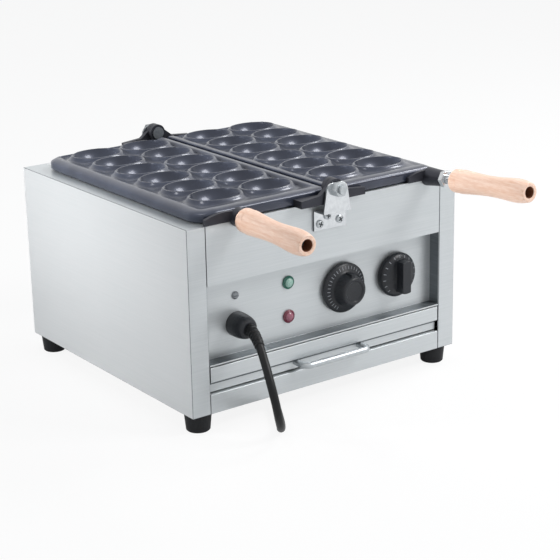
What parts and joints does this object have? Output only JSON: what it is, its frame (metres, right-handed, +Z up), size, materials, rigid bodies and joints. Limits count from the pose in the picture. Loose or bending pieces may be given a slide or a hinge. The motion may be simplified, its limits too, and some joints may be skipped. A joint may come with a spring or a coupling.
{
  "type": "electric muffin maker",
  "caption": "Countertop electric muffin maker with two hinged cast mould plates of oval cups, wooden handles, timer and thermostat knobs and a crumb drawer.",
  "frame": {"origin": "middle of the object's box without the mains lead, on the surface that it stands on", "axes": "+X to the right seen from the front, +Y from the handles to the back, +Z up"},
  "size_m": [0.32, 0.5642, 0.222],
  "materials": {
    "stainless_sheet": "fine brushed",
    "inner_steel": "plain mill finish",
    "bright_steel": "polished",
    "cast_plate": "dark non-stick coating with a soft gloss",
    "cast_hinge": "dark cast",
    "beech": "turned and lacquered",
    "black_plastic": "satin",
    "white_plastic": "satin",
    "black_rubber": "satin",
    "plug_plastic": "moulded, with two steel pins",
    "green_bezel": "gloss",
    "green_lens": "clear tinted",
    "red_bezel": "gloss",
    "red_lens": "clear tinted"
  },
  "bodies": {
    "cabinet": {"base_pan": "inner_steel", "left_side_panel": "stainless_sheet", "right_side_panel": "stainless_sheet", "back_panel": "stainless_sheet", "upper_front_panel": "stainless_sheet", "control_panel": "stainless_sheet", "lower_front_rail": "stainless_sheet", "heat_shield": "inner_steel", "heater_supports": "inner_steel", "left_heating_tube": "inner_steel", "right_heating_tube": "inner_steel", "drawer_runners": "inner_steel", "front_left_foot": "black_rubber", "front_right_foot": "black_rubber", "back_left_foot": "black_rubber", "back_right_foot": "black_rubber", "foot_screws": "inner_steel", "front_hinge_bracket": "bright_steel", "rear_hinge_bracket": "inner_steel", "front_hinge_bolt": "bright_steel", "rear_hinge_bolt": "inner_steel", "front_hinge_nut": "bright_steel", "rear_hinge_nut": "inner_steel", "bracket_screws": "inner_steel", "timer_switch": "black_plastic", "thermostat": "inner_steel", "green_lamp_holder": "green_bezel", "green_lamp_lens": "green_lens", "red_lamp_holder": "red_bezel", "red_lamp_lens": "red_lens", "panel_screw": "inner_steel", "cable_gland": "black_plastic", "gland_nut": "black_plastic", "terminal_block": "white_plastic", "power_cord": "black_rubber", "cord_coil": "black_rubber", "plug_lead": "black_rubber", "coil_tie": "black_rubber", "mains_plug": "plug_plastic"},
    "left_plate": {"left_mould_plate": "cast_plate", "left_front_hinge_arm": "cast_hinge", "left_rear_hinge_arm": "cast_hinge", "left_handle_lug": "cast_hinge", "left_handle_rod": "bright_steel", "left_handle_nut": "inner_steel", "left_grip": "beech"},
    "right_plate": {"right_mould_plate": "cast_plate", "right_front_hinge_arm": "cast_hinge", "right_rear_hinge_arm": "cast_hinge", "right_handle_lug": "cast_hinge", "right_handle_rod": "bright_steel", "right_handle_nut": "bright_steel", "right_grip": "beech"},
    "drawer": {"drawer_tray": "stainless_sheet", "drawer_front": "stainless_sheet", "drawer_handle": "bright_steel"},
    "timer_control": {"timer_knob": "black_plastic", "timer_shaft": "bright_steel"},
    "thermostat_control": {"thermostat_knob": "black_plastic", "thermostat_shaft": "bright_steel"}
  },
  "joints": [
    {"name": "left_plate_fold", "type": "hinge", "parent": "cabinet", "child": "left_plate", "pos_m": [0, 0, 0.213], "axis": [0, 1, 0], "range_deg": [0, 180]},
    {"name": "right_plate_fold", "type": "hinge", "parent": "cabinet", "child": "right_plate", "pos_m": [0, 0, 0.213], "axis": [0, -1, 0], "range_deg": [0, 180]},
    {"name": "drawer_slide", "type": "slide", "parent": "cabinet", "child": "drawer", "axis": [0, -1, 0], "range_m": [0, 0.18], "deforming": ["power_cord"]},
    {"name": "timer_knob_turn", "type": "hinge", "parent": "cabinet", "child": "timer_control", "pos_m": [0.026, -0.08974, 0.1045], "axis": [0, 1, 0], "range_deg": [0, 300]},
    {"name": "thermostat_knob_turn", "type": "hinge", "parent": "cabinet", "child": "thermostat_control", "pos_m": [0.093, -0.08974, 0.1045], "axis": [0, 1, 0], "range_deg": [0, 270]}
  ]
}
